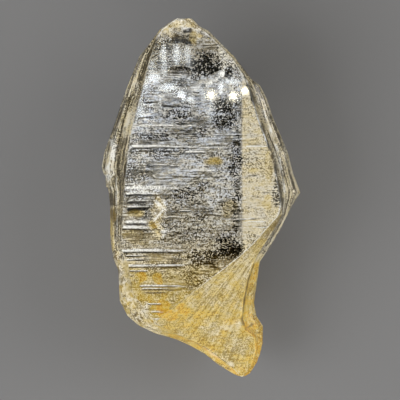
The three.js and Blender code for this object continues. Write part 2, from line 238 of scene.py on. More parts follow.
# Lines of painted highlight along healed cracks and bevels, and of painted shade where the strength is
# under 0: x, y of both ends, width, and strength
VEINS = [
    [4.5, 23.2, 4.4, 22.4, 0.3, 0.8], [4.4, 22.4, 3.6, 20.9, 0.5, 0.9], [3.6, 20.9, 2.5, 19.8, 0.7, 1],
    [2.5, 19.8, 0.7, 18.9, 0.5, 0.9], [0.7, 18.9, -1.4, 18.3, 0.5, 0.7],
    [-1.4, 18.3, -3, 17.9, 0.4, 0.5], [3.5, 4, 3.2, 2.9, 0.3, 0.6], [3.2, 2.9, 3.5, 1.7, 0.3, 0.6],
    [3.5, 1.7, 3, 0.6, 0.3, 0.6], [3, 0.6, 2.1, -1.3, 0.3, 0.6], [4.9, 8.4, 4.4, 5.5, 0.25, 0.45],
    [4.4, 5.5, 4.7, 3.4, 0.25, 0.45], [6.8, 3.8, 9.4, 4.1, 0.12, -0.6], [7.2, 20.4, 8.5, 17, 0.36, -1],
    [8.5, 17, 9.45, 14.1, 0.4, -1], [9.45, 14.1, 10.85, 10.1, 0.4, -1],
    [10.85, 10.1, 12.05, 6.4, 0.4, -1], [12.05, 6.4, 12.85, 2.8, 0.4, -1],
    [12.85, 2.8, 13.4, -0.6, 0.5, -1], [9.6, 16.4, 11, 13.2, 0.3, 0.7], [11, 13.2, 12.9, 8, 0.36, 0.9],
    [12.9, 8, 13.9, 1.4, 0.36, 0.8], [8.4, 20, 11.1, 15.6, 0.36, -0.9], [11.1, 15.6, 13, 10.6, 0.36, -1],
    [13, 10.6, 15.6, 1.8, 0.3, -0.8], [13.4, -2.6, 9.9, -7.4, 0.3, -0.6],
    [-7.4, 26.5, -9.2, 22.6, 0.4, -0.9], [-9.2, 22.6, -10.7, 18.5, 0.36, -0.9],
    [-10.4, 23.6, -11.6, 20.8, 0.26, -0.8], [-11.2, 17.5, -12.9, 15.8, 0.3, -0.9],
    [-12.9, 15.8, -14.8, 11, 0.34, -0.9], [-14.8, 11, -16.3, 5.4, 0.3, -0.9],
    [-13.7, 12.3, -14.7, 9.3, 0.3, 0.8], [-14.6, 9.6, -15.6, 2.6, 1.2, 0.8],
    [-12.7, 12.1, -13.7, 8.4, 0.34, -0.8], [-13.7, 8.4, -14.2, 3.5, 0.34, -0.8],
    [-14.2, 3.5, -14.3, -6.5, 0.3, -0.8], [-15.3, 2.6, -14.6, -3, 0.9, -0.95],
    [-14.1, 3.6, -13.9, -6, 0.2, 0.7], [-12.7, 10, -13.4, -4, 0.7, -0.6],
    [-7.9, 0.3, -6.2, -1.6, 0.35, 0.8], [-6.2, -1.6, -7.8, -3.4, 0.35, 0.7],
    [-7.8, -3.4, -6.4, -5.2, 0.3, 0.7], [0.6, -25.1, 5.2, -28, 0.7, 0.3],
    [2.2, -22.4, 5.9, -20.9, 1.2, 0.25], [-4.5, 26.3, -1.9, 26.2, 0.8, -0.9],
    [-2.8, 27.8, -1.8, 28.1, 0.5, -0.9], [8.8, -10.8, 7.9, -13.2, 0.26, -0.5],
    [7.9, -13.2, 7.3, -16.5, 0.3, -0.55], [7.3, -16.5, 6.85, -20.3, 0.3, -0.6],
    [6.85, -20.3, 7.5, -21.8, 0.3, -0.6], [7.5, -21.8, 8.7, -21, 0.26, -0.5],
    [8.7, -21, 10, -20.6, 0.24, -0.4],
]
# Crumbly crust: x, y of both ends, width, and strength
CRUMBS = [
    [-13.9, -9, -13.6, -13.5, 1.4, 1], [-13.6, -13.5, -12.6, -16, 2, 1],
    [-12.6, -16, -10.9, -18.2, 2.6, 1], [-10.9, -18.2, -8.9, -20.6, 2.2, 1],
    [-5.8, 28, -4.4, 28.6, 2, 1], [-4.4, 28.6, -1.6, 29.2, 1.6, 1], [-1.4, 29, -0.3, 27.2, 1.6, 1],
    [-6.5, -0.4, -7.4, -3.8, 2, 1], [-8.9, -21.4, -3.4, -24.2, 1.2, 0.8],
    [-3.4, -24.2, 3.4, -28.6, 1.4, 0.9], [3.4, -28.6, 7, -30, 1.6, 0.9],
    [9.4, -11.6, 8.4, -16, 1.6, 0.85], [8.4, -16, 8.5, -20.4, 2, 0.85],
    [9.9, -21.5, 10.2, -25, 1.2, 0.8], [10.2, -25, 8.4, -29.4, 1.2, 0.8],
]
# Left edge of the strip where the right side face shows through the front, as [y, x]
STRIP_EDGE = [[30, 2.2], [26.2, 2.5], [22.8, 2.9], [22.5, 5.6], [20.2, 6.6], [-30, 6.6]]
# Iron film all over, as [y, share]
WARMTH = [
    [30, 0.2], [24, 0.16], [20, 0.04], [17, 0], [12, 0], [4, 0.06], [-6, 0.2], [-11, 0.5], [-20, 0.66],
]

# Groups of faces, and the x at which three places begin
FORE = ["front", "broken", "band"]
BEHIND = ["side", "rest"]
RIGHT_BACK_X = 6.4
STRIP_X = 5
LEFT_CRUST_X = -6

# Spans of y, or of x where the name says so, from no look at the first number to all at the second
ROUGH_TIP = (26.8, 27.8)
ROUGH_FOOT = (-16, -19)
CRUSTED_BAND = (-8.5, -10.5)
LOW_FRONT = (-8, -12)
LOW_FRONT_X = (2, -3)
STRIP_TOP = (-9, -11)
STAINED_LOW = (-9, -14)
STAINED_BREAK = (1, -3)
STAINED_RIM = (-20, -23)
STAINED_SEEN = (24, 16)
LEAST_SEEN = 0.4
HAZY_RIM = (-18, -21)
HAZY_BEHIND = (-9, -15)
HAZY_TIP = (26.7, 27.7)
CLEARER_TIP = (19.5, 21.5)
BRUISED_LOW = (-8, -11)
SHADED_TIP = (20, 22)
PLAIN_BAND = (-10, -13)
PLAIN_BREAK = (-13, -19)
RIM_LINE = (2, 10)
SNAP_LINE = (-16.5, -11.5)
SEEN_BLUR = (0, 0.3)

# Shares of each look, by kind of face or by place
STAINED = {
    "band": 0.32, "right side": 0.28, "broken": 0.5, "strip": 0.8, "rim": 0.92, "seen": 0.26,
    "film": 0.7, "low film": 0.25, "crumb": 0.46, "left crumb": 0.12, "cleaned crumb": 0.4,
}
HAZE = {"front": 0.02, "broken": 0.62, "band": 0.28, "side": 0.14, "rest": 0.9}
HAZY = {
    "strip": 1.0, "rim": 0.85, "crust": 0.45, "seen": 0.62, "low": 0.42, "crumb": 0.5, "behind": 0.35,
    "tip": 0.65, "right back": 0.3,
}
BRUISED = {"band": 0.82, "broken": 0.3, "rest": 0.6, "side": 0.14}
SPRINKLED = {"front": 0.5, "seen": -0.4, "tip": -0.16, "low": 0.18, "crumb": 0.9}
# Painted shade patches clear the bruises past this strength, by this share at most
PAINTED_SHADE_STARTS = 0.3
PAINTED_SHADE_CLEARS = 0.75
# Shares of painted shade: dark flecks over the faces, and dark lines on the bands
SHADED = {"rest": 0.4, "broken": 0.4}
VEILED = {"front": 0.14, "tip": 0.16, "seen": -0.08, "low": -0.7, "crumb": 0.3, "left side": 0.1}
LINED = {"left": 0.6, "right": 0.56, "strip": 0.1, "crust": -0.15, "bruise": -0.7}
BANDED = {"crust": 0.9, "foot": 0.6, "broken": 0.8, "low broken": -0.4}
POLISH = {"front": 0.8, "side": 0.8, "band": 0.4, "rest": 0.4}

# Thin lines: how many half widths from its middle one is gone. It is full within one fewer.
LINE_REACH = 1.5
EDGE_REACH = 1.4
# A ledge's line: the span of its start, the steepness of its taper, its least share of width, and
# how soon it shows in full
LINE_START = (0, 0.5)
LINE_TAPER = 2.2
LINE_LEAST = 0.3
LINE_ENDS = 3
# Painted highlights along the front left edge and the break line, and a bright line along the back
# right edge: half width in mm, then the most and the least that they show
RIM_HIGHLIGHT = (0.16, 0.8, 0.08)
SNAP_HIGHLIGHT = (0.14, 0.7, 0.084)
BACK_BRIGHT_LINE = (0.18, 0.6)

# Noise in the material: size in mm, how many times finer it is along x, y and z, and detail
NOISES = {
    "blotch": (2.2, (1, 1, 1), 6),
    "cloud": (3.5, (0.6, 1, 1), 3),
    "grit": (0.17, (1, 1, 1), 0),
    "grain": (0.34, (0.8, 1, 1), 2),
    "streak": (1, (0.4, 3.8, 0.6), 3),
    "hair": (1, (0.2, 3.4, 1), 5),
    "lines": (1, (3, 0.12, 1), 3),
    "calm": (4.2, (0.6, 1.5, 1), 2),
    "crumbs": (0.7, (1, 1, 1), 2),
    "clumps": (0.5, (1, 1, 1), 1),
    "cream": (0.7, (0.5, 1.2, 1), 2),
    "veil": (2.6, (0.4, 1.5, 1), 3),
}
NOISE_ROUGHNESS = 0.6
# Etching: the noises that add up to each kind, and the weight of each
ETCHINGS = {
    "lined": {"grit": 0.95, "grain": 0.3, "streak": 0.65},
    "even": {"grit": 1, "grain": 0.5, "streak": 0.3},
    "calm": {"streak": 0.8, "grain": 0.45},
    "clumped": {"clumps": 1.1, "grit": 0.6},
    "banded": {"lines": 1.4, "grit": 0.9, "grain": 0.3},
    "crumbly": {"crumbs": 0.85, "grit": 0.7},
}
# How one value follows another: its range, and what the range's two ends become
FOLLOWS = {
    "noise": (0.35, 0.65, 0, 1),
    "rightward": (-4 * MM, 3 * MM, 0, 1),
    "calm": (0.5, 0.8, 0, 0.75),
    "clumped": (0.85, 1.2, 0, 0.8),
    "patchy": (0, 1, -0.3, 0.3),
    "softness": (0, 1, 0.38, 0.2),
    "dark limit": (0, 1, 0.82, 0.06),
    "dark share": (0, 0.8, 0.45, 1),
    "dark in stain": (0.4, 0.9, 1, 0.4),
    "dark in haze": (0.3, 0.8, 1, 0.5),
    "gloom gaps": (0.5, 0.95, 1, 0.6),
    "milky limit": (0, 1, 0.82, 0.14),
    "milky share": (0, 0.8, 0.36, 0.9),
    "ledge gaps": (0.1, 0.55, 0.45, 1),
    "blotchy stain": (0, 0.8, 0.7, 1.15),
    "etched stain": (0.1, 0.9, 1.22),
    "cream": (0.2, 0.8, 0, 0.1),
    "brown painted shade": (0.25, 0.5, 0, 1),
    "sugar": (0.2, 0.8, 0.88, 1.12),
    "veil": (0.4, 1, 0, 0.34),
    "clear": (0, 1, 1, 0.05),
    "rough": (0, 1, 0.02, 0.35),
    "rough break": (0, 0.3, 0.45, 0),
}
PALEST_STAIN = 0.74
PALER_CRUMB = 0.3
# How much paler the stain is under painted highlights
PALER_UNDER_HIGHLIGHT = 0.6
# How much painted shade the crumbs take, how brown it is there, and how steeply painted shade deepens
DARK_CRUMB = 0.8
BROWN_CRUMB = 0.85
DARK_DEPTH = 3.0
STAIN_CLOUD = 0.35
FROST_ROUGHNESS = 0.4
COAT_ROUGHNESS = 0.02
QUARTZ_IOR = 1.544
# Bump: its strength, its least reach, and how far it reaches behind and on the bands, in metres
BUMP_STRENGTH = 0.5
LEAST_BUMP = 0.0004 * MM
BACK_BUMP = 0.025 * MM
BAND_BUMP = 0.06 * MM
# Nodes by short names: Blender's kind, its settings, the sockets that take its values, and its result
SUMS = {
    "plus": "ADD", "minus": "SUBTRACT", "times": "MULTIPLY", "over": "DIVIDE", "power": "POWER",
    "highest": "MAXIMUM", "weighed": "MULTIPLY_ADD",
}
NODES = {
    "mask": ("ShaderNodeAttribute", {}, (), "Fac"),
    "scaled": ("ShaderNodeMapping", {}, ("Vector", "Scale"), "Vector"),
    "noise": ("ShaderNodeTexNoise", {}, ("Vector", "Scale", "Detail", "Roughness"), "Fac"),
    "follow": ("ShaderNodeMapRange", {}, ("Value", "From Min", "From Max", "To Min", "To Max"), "Result"),
    "between": ("ShaderNodeMix", {"data_type": "FLOAT"}, ("Factor", 2, 3), "Result"),
    "mix": ("ShaderNodeMix", {"data_type": "RGBA"}, ("Factor", 6, 7), 2),
    **{name: ("ShaderNodeMath", {"operation": kind}, (0, 1, 2), 0) for name, kind in SUMS.items()},
}
# Tints of the quartz between clear and honey, by the share of stain
STAIN_STEPS = [(0.05, "#e3e6ea"), (0.12, "#e5e2d8"), (0.32, "#dccfac"), (0.62, "#c6b066")]
HONEY_SHARE = 0.82
# Colours of painted shade on the bands' lines and in stained places, and of painted highlights
PAINTED_LINE_SHADE = "#1f1d0e"
PAINTED_BROWN_SHADE = "#6b5722"
PAINTED_HIGHLIGHT_WHITE = "#fbfbf6"

# ---------------------------------------------------------------- stage
# Board and card: half side and height in metres, and finish as roughness and shine
FLOOR_HALF = 3.0
FLOOR_HEIGHT = -0.0002
FLOOR_FINISH = (0.8, 0.5)
CARD_HALF = 0.11
CARD_BLACK = "#060606"
CARD_FINISH = (1, 0)
# Softboxes: name, place and size in metres, watts, the point faced, tint, and whether it lights
# matt surfaces too
MIDDLE = (0, 0, 0.01)
WHITE = "#ffffff"
SOFTBOXES = [
    ["left_softbox", (-0.42, -0.12, 0.42), (0.36, 0.4), 2.0, MIDDLE, WHITE, True],
    ["foot_softbox", (-0.08, -0.46, 0.26), (0.6, 0.24), 1.8, MIDDLE, WHITE, True],
    ["top_softbox", (0.05, 0.42, 0.5), (0.45, 0.1), 0.15, MIDDLE, WHITE, True],
    ["right_softbox", (0.5, 0.1, 0.3), (0.4, 0.5), 1.75, MIDDLE, WHITE, True],
    ["low_softbox", (0.0, -0.14, 0.06), (0.12, 0.03), 0.02, (0, -0.03, 0.0), WHITE, True],
    ["right_edge_softbox", (0.3, 0.02, 0.04), (0.07, 0.4), 0.6, MIDDLE, "#fff4e0", False],
]
# Window panes and lamps overhead, placed by the spot of the front face, in mm, that mirrors them:
# x, y, and for panes also width, height and brightness
OVERHEAD = 0.62
MIRRORED = 2.71 * MM
PANES = [
    [-7.6, 20.2, 1.8, 1.6, 8], [-5.4, 18.6, 3.2, 1.2, 8], [-8.8, 16.8, 2, 2, 5],
    [-6.3, 16.4, 1.6, 1.4, 6], [-3.2, 17.2, 1.2, 2, 12], [-1.6, 16.6, 1.2, 1.2, 7],
    [-0.4, 18.4, 1.8, 0.9, 5], [0.5, 17, 0.8, 2.4, 4], [1.7, 14.6, 0.9, 3.4, 4], [3.4, 18.5, 0.8, 2, 10],
    [5.3, 19.6, 2.4, 1, 7], [-6.1, 24, 0.9, 3.4, 7], [-3.9, 24, 1.1, 3.4, 7], [-2.1, 24, 0.9, 3.2, 6],
    [-1.9, 21, 0.7, 4, 2.4], [-9.9, 13.8, 1.4, 4.6, 4.4], [-9, 19.2, 1, 2, 5], [-8, 21.6, 1, 3, 3.6],
    [-5.9, 21.6, 1, 2.4, 4.4], [-3.7, 21, 1, 2.4, 2.6],
]
PANE_POWER = 1.35 * math.pi
PANE_TINT = "#e8eff2"
LAMPS = [[1.8, 17.3], [5.4, 17.2], [7.4, 18.1]]
LAMP_SIZE = 0.0036
LAMP_WATTS = 0.0011
LAMP_TINT = "#fff6d8"
# Camera: the width in mm that it sees, and at what height in metres
SEEN_WIDTH = 67.4
SEEN_HEIGHT = 0.015
SENSOR = 36
CAMERA_X = -0.00017
CAMERA_CLIP = (0.01, 20)

rng = np.random.default_rng(RNG_SEED)


# ---------------------------------------------------------------- the crystal's shape
def along(edge, y):
    """Straight runs between the points of an edge: its value at every y."""
    points = np.array(edge, float)
    return np.interp(-y, -points[:, 0], points[:, 1])


def fade(value, span):
    """0 up to the first number of a span, 1 past the second, and a straight run between."""
    start, stop = span
    return np.clip((value - start) / (stop - start), 0, 1)


def lattice(x, y, size, seed):
    """Value noise between -1 and 1: random numbers on a square lattice, eased between its points."""
    grid = np.random.default_rng(seed).uniform(-1, 1, (LATTICE_POINTS, LATTICE_POINTS))
    u, v = x / size + LATTICE_START[0], y / size + LATTICE_START[1]
    i, j = np.floor(u).astype(int), np.floor(v).astype(int)
    s, t = u - i, v - j
    s, t = s * s * (3 - 2 * s), t * t * (3 - 2 * t)
    i0, i1 = i % LATTICE_POINTS, (i + 1) % LATTICE_POINTS
    j0, j1 = j % LATTICE_POINTS, (j + 1) % LATTICE_POINTS
    upper = grid[i0, j0] * (1 - s) + grid[i1, j0] * s
    lower = grid[i0, j1] * (1 - s) + grid[i1, j1] * s
    return upper * (1 - t) + lower * t


def lumps(x, y, height, size, seed, count=4):
    """Lattice noise of halving size and height, added up."""
    return height * sum(lattice(x, y, size / 2**k, seed + k) / 2**k for k in range(count))


def break_depth(x, y):
    """Fall of the broken face under the front plane: tilt times distance, less its hollow."""
    away = np.maximum(0, (x - along(BREAK_LINE, y)) * BREAK_LEAN)
    return away * BREAK_TILT - away * away * BREAK_HOLLOW


def past_ledge(x, y, at):
    """Distance past a ledge, towards the tip: the ledge wanders a little along its length."""
    return y - at - lumps(x, y * 0 + at, *LEDGE_WANDER)


def ledge_depth(x, y, ledges, riser, heal, reach):
    """Deepest bite of all ledges at a point: full at the step, healing away towards the tip."""
    depth = np.zeros_like(x)
    for at, start, stop, bite in np.array(ledges)[:, :4]:
        past = past_ledge(x, y, at)
        profile = np.clip(np.minimum(1 + past / riser, 1 - past / heal), 0, 1)
        ends = np.clip(np.minimum(x - start, stop - x) / reach, 0, 1)
        depth = np.maximum(depth, bite * profile * ends)
    return depth


def fine_ledges():
    """Seeded shallow ledges all over the prism faces: y, from, to and bite."""
    y, middle, half, bite = [rng.uniform(*span, FINE_LEDGES) for span in FINE_RANGES]
    return np.stack([y, middle - half, middle + half, bite], 1)


def pit_depth(x, y):
    """Bowls: depth times one less the squared distance from the middle."""
    depth = np.zeros_like(x)
    for at_x, at_y, half_x, half_y, deep in PITS:
        r = np.hypot((x - at_x) / half_x, (y - at_y) / half_y)
        depth = np.maximum(depth, deep * np.clip(1 - r * r, 0, 1))
    return depth


def fan_angle(x, y):
    """Angle round the corner that the break started from, in radians."""
    return np.arctan2(RIB_CENTRE[1] - y, RIB_CENTRE[0] - x)


def ribs(x, y):
    """Shell-like ribs: waves of the fan angle, bent a little, with finer waves over them."""
    turn = fan_angle(x, y) / RIB_TURN * math.pi
    return np.sin(turn + lumps(x, y, *RIB_BEND)) + FINE_RIB_SHARE * np.sin(turn * FINE_RIB_PITCH)


def rough_ends(y):
    """0 on the growth faces, 1 at the crusted tip and at the broken foot."""
    return np.maximum(fade(y, ROUGH_TIP), fade(y, ROUGH_FOOT))


def relief_front(x, y, t, fine):
    """Named ledges and pits, and a crust that bites into the tip."""
    crust = fade(y, ROUGH_TIP) * (TIP_CRUST + lumps(x, y, *TIP_LUMPS))
    ledges = ledge_depth(x, y, LEDGES, RISER, HEAL, LEDGE_FADE)
    return -ledges - pit_depth(x, y) - np.maximum(crust, 0)


def relief_broken(x, y, t, fine):
    """Ribs and lumps."""
    return RIB_HEIGHT * ribs(x, y) + lumps(x, y, *BREAK_LUMPS)


def relief_band(x, y, t, fine):
    """Zigzag steps that run along the band, with lumps, and a crust at both ends."""
    steps = np.abs((t * BAND_STEP_COUNT + lumps(y, y * 0, *BAND_STEP_WANDER)) % 1 - 0.5)
    crust = rough_ends(y) * lumps(x * CRUST_SQUEEZE + t * CRUST_SPAN, y, *BAND_CRUST)
    return lumps(x + t * LUMP_SPAN, y, *BAND_LUMPS) + crust - BAND_STEP * steps


def relief_side(x, y, t, fine):
    """Fine ledges and etching, and a crust at both ends."""
    growth = ledge_depth(x * SIDE_SQUEEZE + t * SIDE_SPAN, y, fine, *FINE_PROFILE)
    return lumps(x, y, *SIDE_LUMPS) + rough_ends(y) * lumps(x, y, *SIDE_CRUST) - growth


def relief_rest(x, y, t, fine):
    """Etching that mostly bites inwards, and shallower fine ledges."""
    growth = ledge_depth(x, y + REST_SHIFT, fine, *FINE_PROFILE)
    return -REST_ETCH - lumps(x, y, *REST_LUMPS) - REST_LEDGE_SHARE * growth


RELIEF = {
    "front": relief_front,
    "broken": relief_broken,
    "band": relief_band,
    "side": relief_side,
    "rest": relief_rest,
}


def corners(y):
    """The seven long edges at every y as (x, z) pairs, kept in order and at least a lip apart."""
    left, right = along(LEFT_GIRDLE, y), along(RIGHT_GIRDLE, y)
    front_left = np.maximum(along(FRONT_LEFT, y), left + LIP_GAP)
    front_right = np.minimum(along(FRONT_RIGHT, y), right - LIP_GAP)
    line = np.clip(along(BREAK_LINE, y), front_left + LIP_GAP, front_right - LIP_GAP)
    back_left = np.maximum(along(BACK_LEFT, y), left + 2 * LIP_GAP)
    back_right = np.maximum(np.minimum(along(BACK_RIGHT, y), right - LIP_GAP), back_left + LIP_GAP)
    back = along(BACK_HEIGHT, y)
    left_z = THICKNESS - break_depth(front_left, y)
    right_z = THICKNESS - break_depth(front_right, y)
    return {
        "left": (left, left_z - along(LEFT_DROP, y)),
        "front_left": (front_left, left_z),
        "line": (line, THICKNESS - break_depth(line, y)),
        "front_right": (front_right, right_z),
        "right": (right, right_z - along(RIGHT_DROP, y)),
        "back_right": (back_right, back),
        "back_left": (back_left, back),
    }


def ridge(first, last, share, height):
    """A point at a share of the way between two corners, moved out square to the band."""
    (x0, z0), (x1, z1) = first, last
    width = np.hypot(x1 - x0, z1 - z0)
    stand = height * np.minimum(1, width / RIDGED_WIDTH)
    return (
        x0 + (x1 - x0) * share - (z1 - z0) / width * stand,
        z0 + (z1 - z0) * share + (x1 - x0) / width * stand,
    )


def faces_round(y):
    """The faces in order round the crystal: first corner, last corner and kind."""
    c = corners(y)
    left = [ridge(c["left"], c["front_left"], t, h) for t, h in zip(TERRACES, LEFT_RIDGES)]
    right = [ridge(c["front_right"], c["right"], t, h) for t, h in zip(TERRACES, RIGHT_RIDGES)]
    edges = [c["left"], *left, c["front_left"], c["line"], c["front_right"], *right]
    edges += [c["right"], c["back_right"], c["back_left"]]
    bands = ["band"] * (len(TERRACES) + 1)
    kinds = [*bands, "front", "broken", *bands, "side", "rest", "side"]
    return zip(edges, edges[1:] + edges[:1], kinds)


def crystal_grid():
    """Points of the closed loft, rows by columns by xyz in mm, with each column's face and hard edges."""
    y = np.linspace(LENGTH / 2, -LENGTH / 2, ROWS)
    fine = fine_ledges()
    strips, kinds, hard = [], [], []
    for (x0, z0), (x1, z1), kind in faces_round(y):
        count = COLUMNS[kind]
        t = (np.arange(count) / count)[None, :]
        yy = np.repeat(y[:, None], count, 1)
        width = np.hypot(x1 - x0, z1 - z0)[:, None]
        out_x, out_z = -(z1 - z0)[:, None] / width, (x1 - x0)[:, None] / width
        x = x0[:, None] + (x1 - x0)[:, None] * t
        z = z0[:, None] + (z1 - z0)[:, None] * t
        if kind in ("front", "broken"):
            z = THICKNESS - break_depth(x, yy)
            out_x, out_z = np.zeros_like(x), np.ones_like(x)
        inside = np.clip(np.minimum(t, 1 - t) * width / RELIEF_MARGIN, 0, 1)
        relief = inside * RELIEF[kind](x, yy, t + np.zeros_like(x), fine)
        strips.append(np.stack([x + out_x * relief, yy, z + out_z * relief], 2))
        kinds += [kind] * count
        hard += [True] + [False] * (count - 1)
    return np.concatenate(strips, 1), np.array(kinds), np.array(hard)


# ---------------------------------------------------------------- masks
def by_kind(kind, shares):
    """The share that each kind of face has, and 0 for one that isn't listed."""
    return sum(share * (kind == name) for name, share in shares.items())


def patches(x, y, spots):
    """Strongest of soft oval spots with ragged rims at a point."""
    mask = np.zeros_like(x)
    ragged = lumps(x, y, *PATCH_RIM)
    for at_x, at_y, half_x, half_y, strength in spots:
        r = np.hypot((x - at_x) / half_x, (y - at_y) / half_y)
        mask = np.maximum(mask, strength * np.clip(PATCH_SLOPE * (PATCH_EDGE - r + ragged), 0, 1))
    return mask


def seams(x, y, rows, ragged):
    """Seams between the ends of each row: 1 along the middle, 0 past three quarters of the width."""
    mask = np.zeros_like(x)
    for x0, y0, x1, y1, width, strength in rows:
        run_x, run_y = x1 - x0, y1 - y0
        share = np.clip(((x - x0) * run_x + (y - y0) * run_y) / (run_x**2 + run_y**2), 0, 1)
        away = np.hypot(x - x0 - share * run_x, y - y0 - share * run_y) + ragged * width
        mask = np.maximum(mask, abs(strength) * np.clip(LINE_REACH - away / (width / 2), 0, 1))
    return mask


def gaps(x, y, mean, least, noise):
    """Noise about a mean, held between a least value and 1, that breaks up a line."""
    return np.clip(mean + lumps(x, y, *noise), least, 1)


def seen_through(x, y, kind):
    """1 on the strip of the front face through which the right side face shows, 0 elsewhere."""
    return fade(x - along(STRIP_EDGE, y), SEEN_BLUR) * (kind == "front")


def crusted_band(x, y, kind):
    """1 on the crusted lower left band, 0 elsewhere."""
    return fade(y, CRUSTED_BAND) * (x < 0) * (kind == "band")


def low_front(x, y):
    """1 towards the lower left, 0 at the tip and at the right."""
    return fade(y, LOW_FRONT) * fade(x, LOW_FRONT_X)


def strip_below(x, y, kind):
    """Whether a point is on the right-hand band beside the broken face."""
    return (kind == "band") & (x > STRIP_X) & (y < STRIP_TOP[0])


def right_back(x, kind):
    """Whether a point is on the back face at the right, which shows through the front."""
    return (kind == "side") & (x > RIGHT_BACK_X)


def crumb_mask(x, y, kind):
    """1 on crumbly crust, with a ragged rim."""
    return seams(x, y, CRUMBS, lumps(x, y, *CRUMB_RIM)) * np.isin(kind, FORE)


def stain_mask(x, y, kind):
    """Share of iron stain: a film that thickens to the foot, patches, and the broken foot."""
    band, crumb = kind == "band", crumb_mask(x, y, kind)
    thinned = STAINED["film"] + STAINED["low film"] * fade(y, STAINED_LOW)
    mask = np.maximum.reduce([
        patches(x, y, STAINS) * np.isin(kind, FORE),
        along(WARMTH, y) * np.where(np.isin(kind, ["band", "front"]), thinned, 1),
        STAINED["broken"] * (kind == "broken") * fade(y, STAINED_BREAK),
        STAINED["strip"] * strip_below(x, y, kind) * fade(y, STRIP_TOP),
        STAINED["rim"] * band * fade(y, STAINED_RIM),
        STAINED["band"] * band,
        STAINED["right side"] * (kind == "side") * (x > 0),
        STAINED["seen"] * seen_through(x, y, kind) * np.maximum(fade(y, STAINED_SEEN), LEAST_SEEN),
    ])
    left = x < LEFT_CRUST_X
    mask = mask * (1 - STAINED["cleaned crumb"] * crumb * left)
    thick = STAINED["crumb"] + STAINED["left crumb"] * left
    return np.maximum(mask, crumb * (thick + lumps(x, y, *CRUMB_STAIN)))


def haze_mask(x, y, kind):
    """Share of even, fine haze, by the kind of face and the place on it."""
    solid = 1 - patches(x, y, PAINTED_SHADE_PATCHES)
    mask = np.maximum.reduce([
        by_kind(kind, HAZE),
        HAZY["strip"] * strip_below(x, y, kind),
        HAZY["rim"] * (kind == "band") * fade(y, HAZY_RIM),
        HAZY["crust"] * crusted_band(x, y, kind),
        HAZY["seen"] * seen_through(x, y, kind),
        HAZY["low"] * low_front(x, y) * (kind == "front"),
        HAZY["crumb"] * crumb_mask(x, y, kind),
        HAZY["tip"] * fade(y, HAZY_TIP) * solid * np.isin(kind, ["front", "band"]),
    ])
    mask = mask + HAZY["behind"] * fade(y, HAZY_BEHIND) * np.isin(kind, BEHIND)
    return np.where(right_back(x, kind), HAZY["right back"], mask)


def frost_mask(x, y, kind):
    """1 on the frosted face behind the right side, which glows with the light that comes through it."""
    return right_back(x, kind).astype(float)


def bruise_mask(x, y, kind):
    """Density of white bruises: patches and crumbs over an even sprinkling, cleared under strong painted
    shade.
    """
    front = kind == "front"
    sprinkled = (
        SPRINKLED["front"]
        + SPRINKLED["seen"] * seen_through(x, y, kind)
        + SPRINKLED["tip"] * fade(y, CLEARER_TIP)
        + SPRINKLED["low"] * fade(y, BRUISED_LOW)
    )
    mask = np.maximum.reduce([
        patches(x, y, BRUISES) * np.isin(kind, FORE),
        front * sprinkled,
        SPRINKLED["crumb"] * crumb_mask(x, y, kind),
    ])
    painted_dark = np.clip(patches(x, y, PAINTED_SHADE_PATCHES) - PAINTED_SHADE_STARTS, 0, 1) * front
    return np.maximum(mask * (1 - PAINTED_SHADE_CLEARS * painted_dark), by_kind(kind, BRUISED))


def painted_shade_mask(x, y, kind):
    """Density of painted shade: dark patches in front, a veil of dark flecks over each face, and dark
    lines on the bands.
    """
    front, low = kind == "front", low_front(x, y)
    veil = (
        VEILED["front"]
        + VEILED["tip"] * fade(y, SHADED_TIP)
        + VEILED["seen"] * seen_through(x, y, kind)
    )
    lined = np.where(x > 0, LINED["right"], LINED["left"]) + LINED["crust"] * crusted_band(x, y, kind)
    lined = np.where(strip_below(x, y, kind), LINED["strip"], lined)
    return np.maximum.reduce([
        patches(x, y, PAINTED_SHADE_PATCHES) * front,
        front * veil * (1 + VEILED["low"] * low),
        VEILED["crumb"] * crumb_mask(x, y, kind),
        VEILED["left side"] * (kind == "side") * (x < 0),
        by_kind(kind, SHADED),
        (kind == "band") * lined * (1 + LINED["bruise"] * patches(x, y, BRUISES)),
    ])


def vein_lines(x, y, kind, sign):
    """The veins of one sign: 1 for painted highlights, -1 for painted shade."""
    rows = [row for row in VEINS if row[-1] * sign > 0]
    mask = seams(x, y, rows, lumps(x, y, *VEIN_RIM))
    return mask * gaps(x, y, *VEIN_GAPS) * np.isin(kind, FORE)


def ledge_lines(x, y, kind, column, lift):
    """Painted highlights on risers and painted shade at feet, along the named ledges: as wide as a column
    of their list says, tapering right.
    """
    mask = np.zeros_like(x)
    for ledge in LEDGES:
        at, start, stop = ledge[:3]
        width = ledge[column]
        if not width:
            continue
        middle = lift * (ledge[RISER_HIGHLIGHT_COLUMN] + ledge[FOOT_SHADE_COLUMN]) / 2
        taper = np.clip((stop - x) / (stop - start) * LINE_TAPER, 0, 1)
        ends = fade(x - start, LINE_START) * taper
        half = width / 2 * (LINE_LEAST + (1 - LINE_LEAST) * ends)
        near = np.clip(LINE_REACH - np.abs(past_ledge(x, y, at) - middle) / half, 0, 1)
        patchy = gaps(x, y * 0 + at * LEDGE_GAP_STEP, *LEDGE_GAPS)
        mask = np.maximum(mask, near * np.clip(ends * LINE_ENDS, 0, 1) * patchy)
    return mask * (kind == "front")


def bright_edge_line(x, y, edge, half_width):
    """A line along a long edge, gone a little past its half width."""
    return np.clip(EDGE_REACH - np.abs(x - along(edge, y)) / half_width, 0, 1)


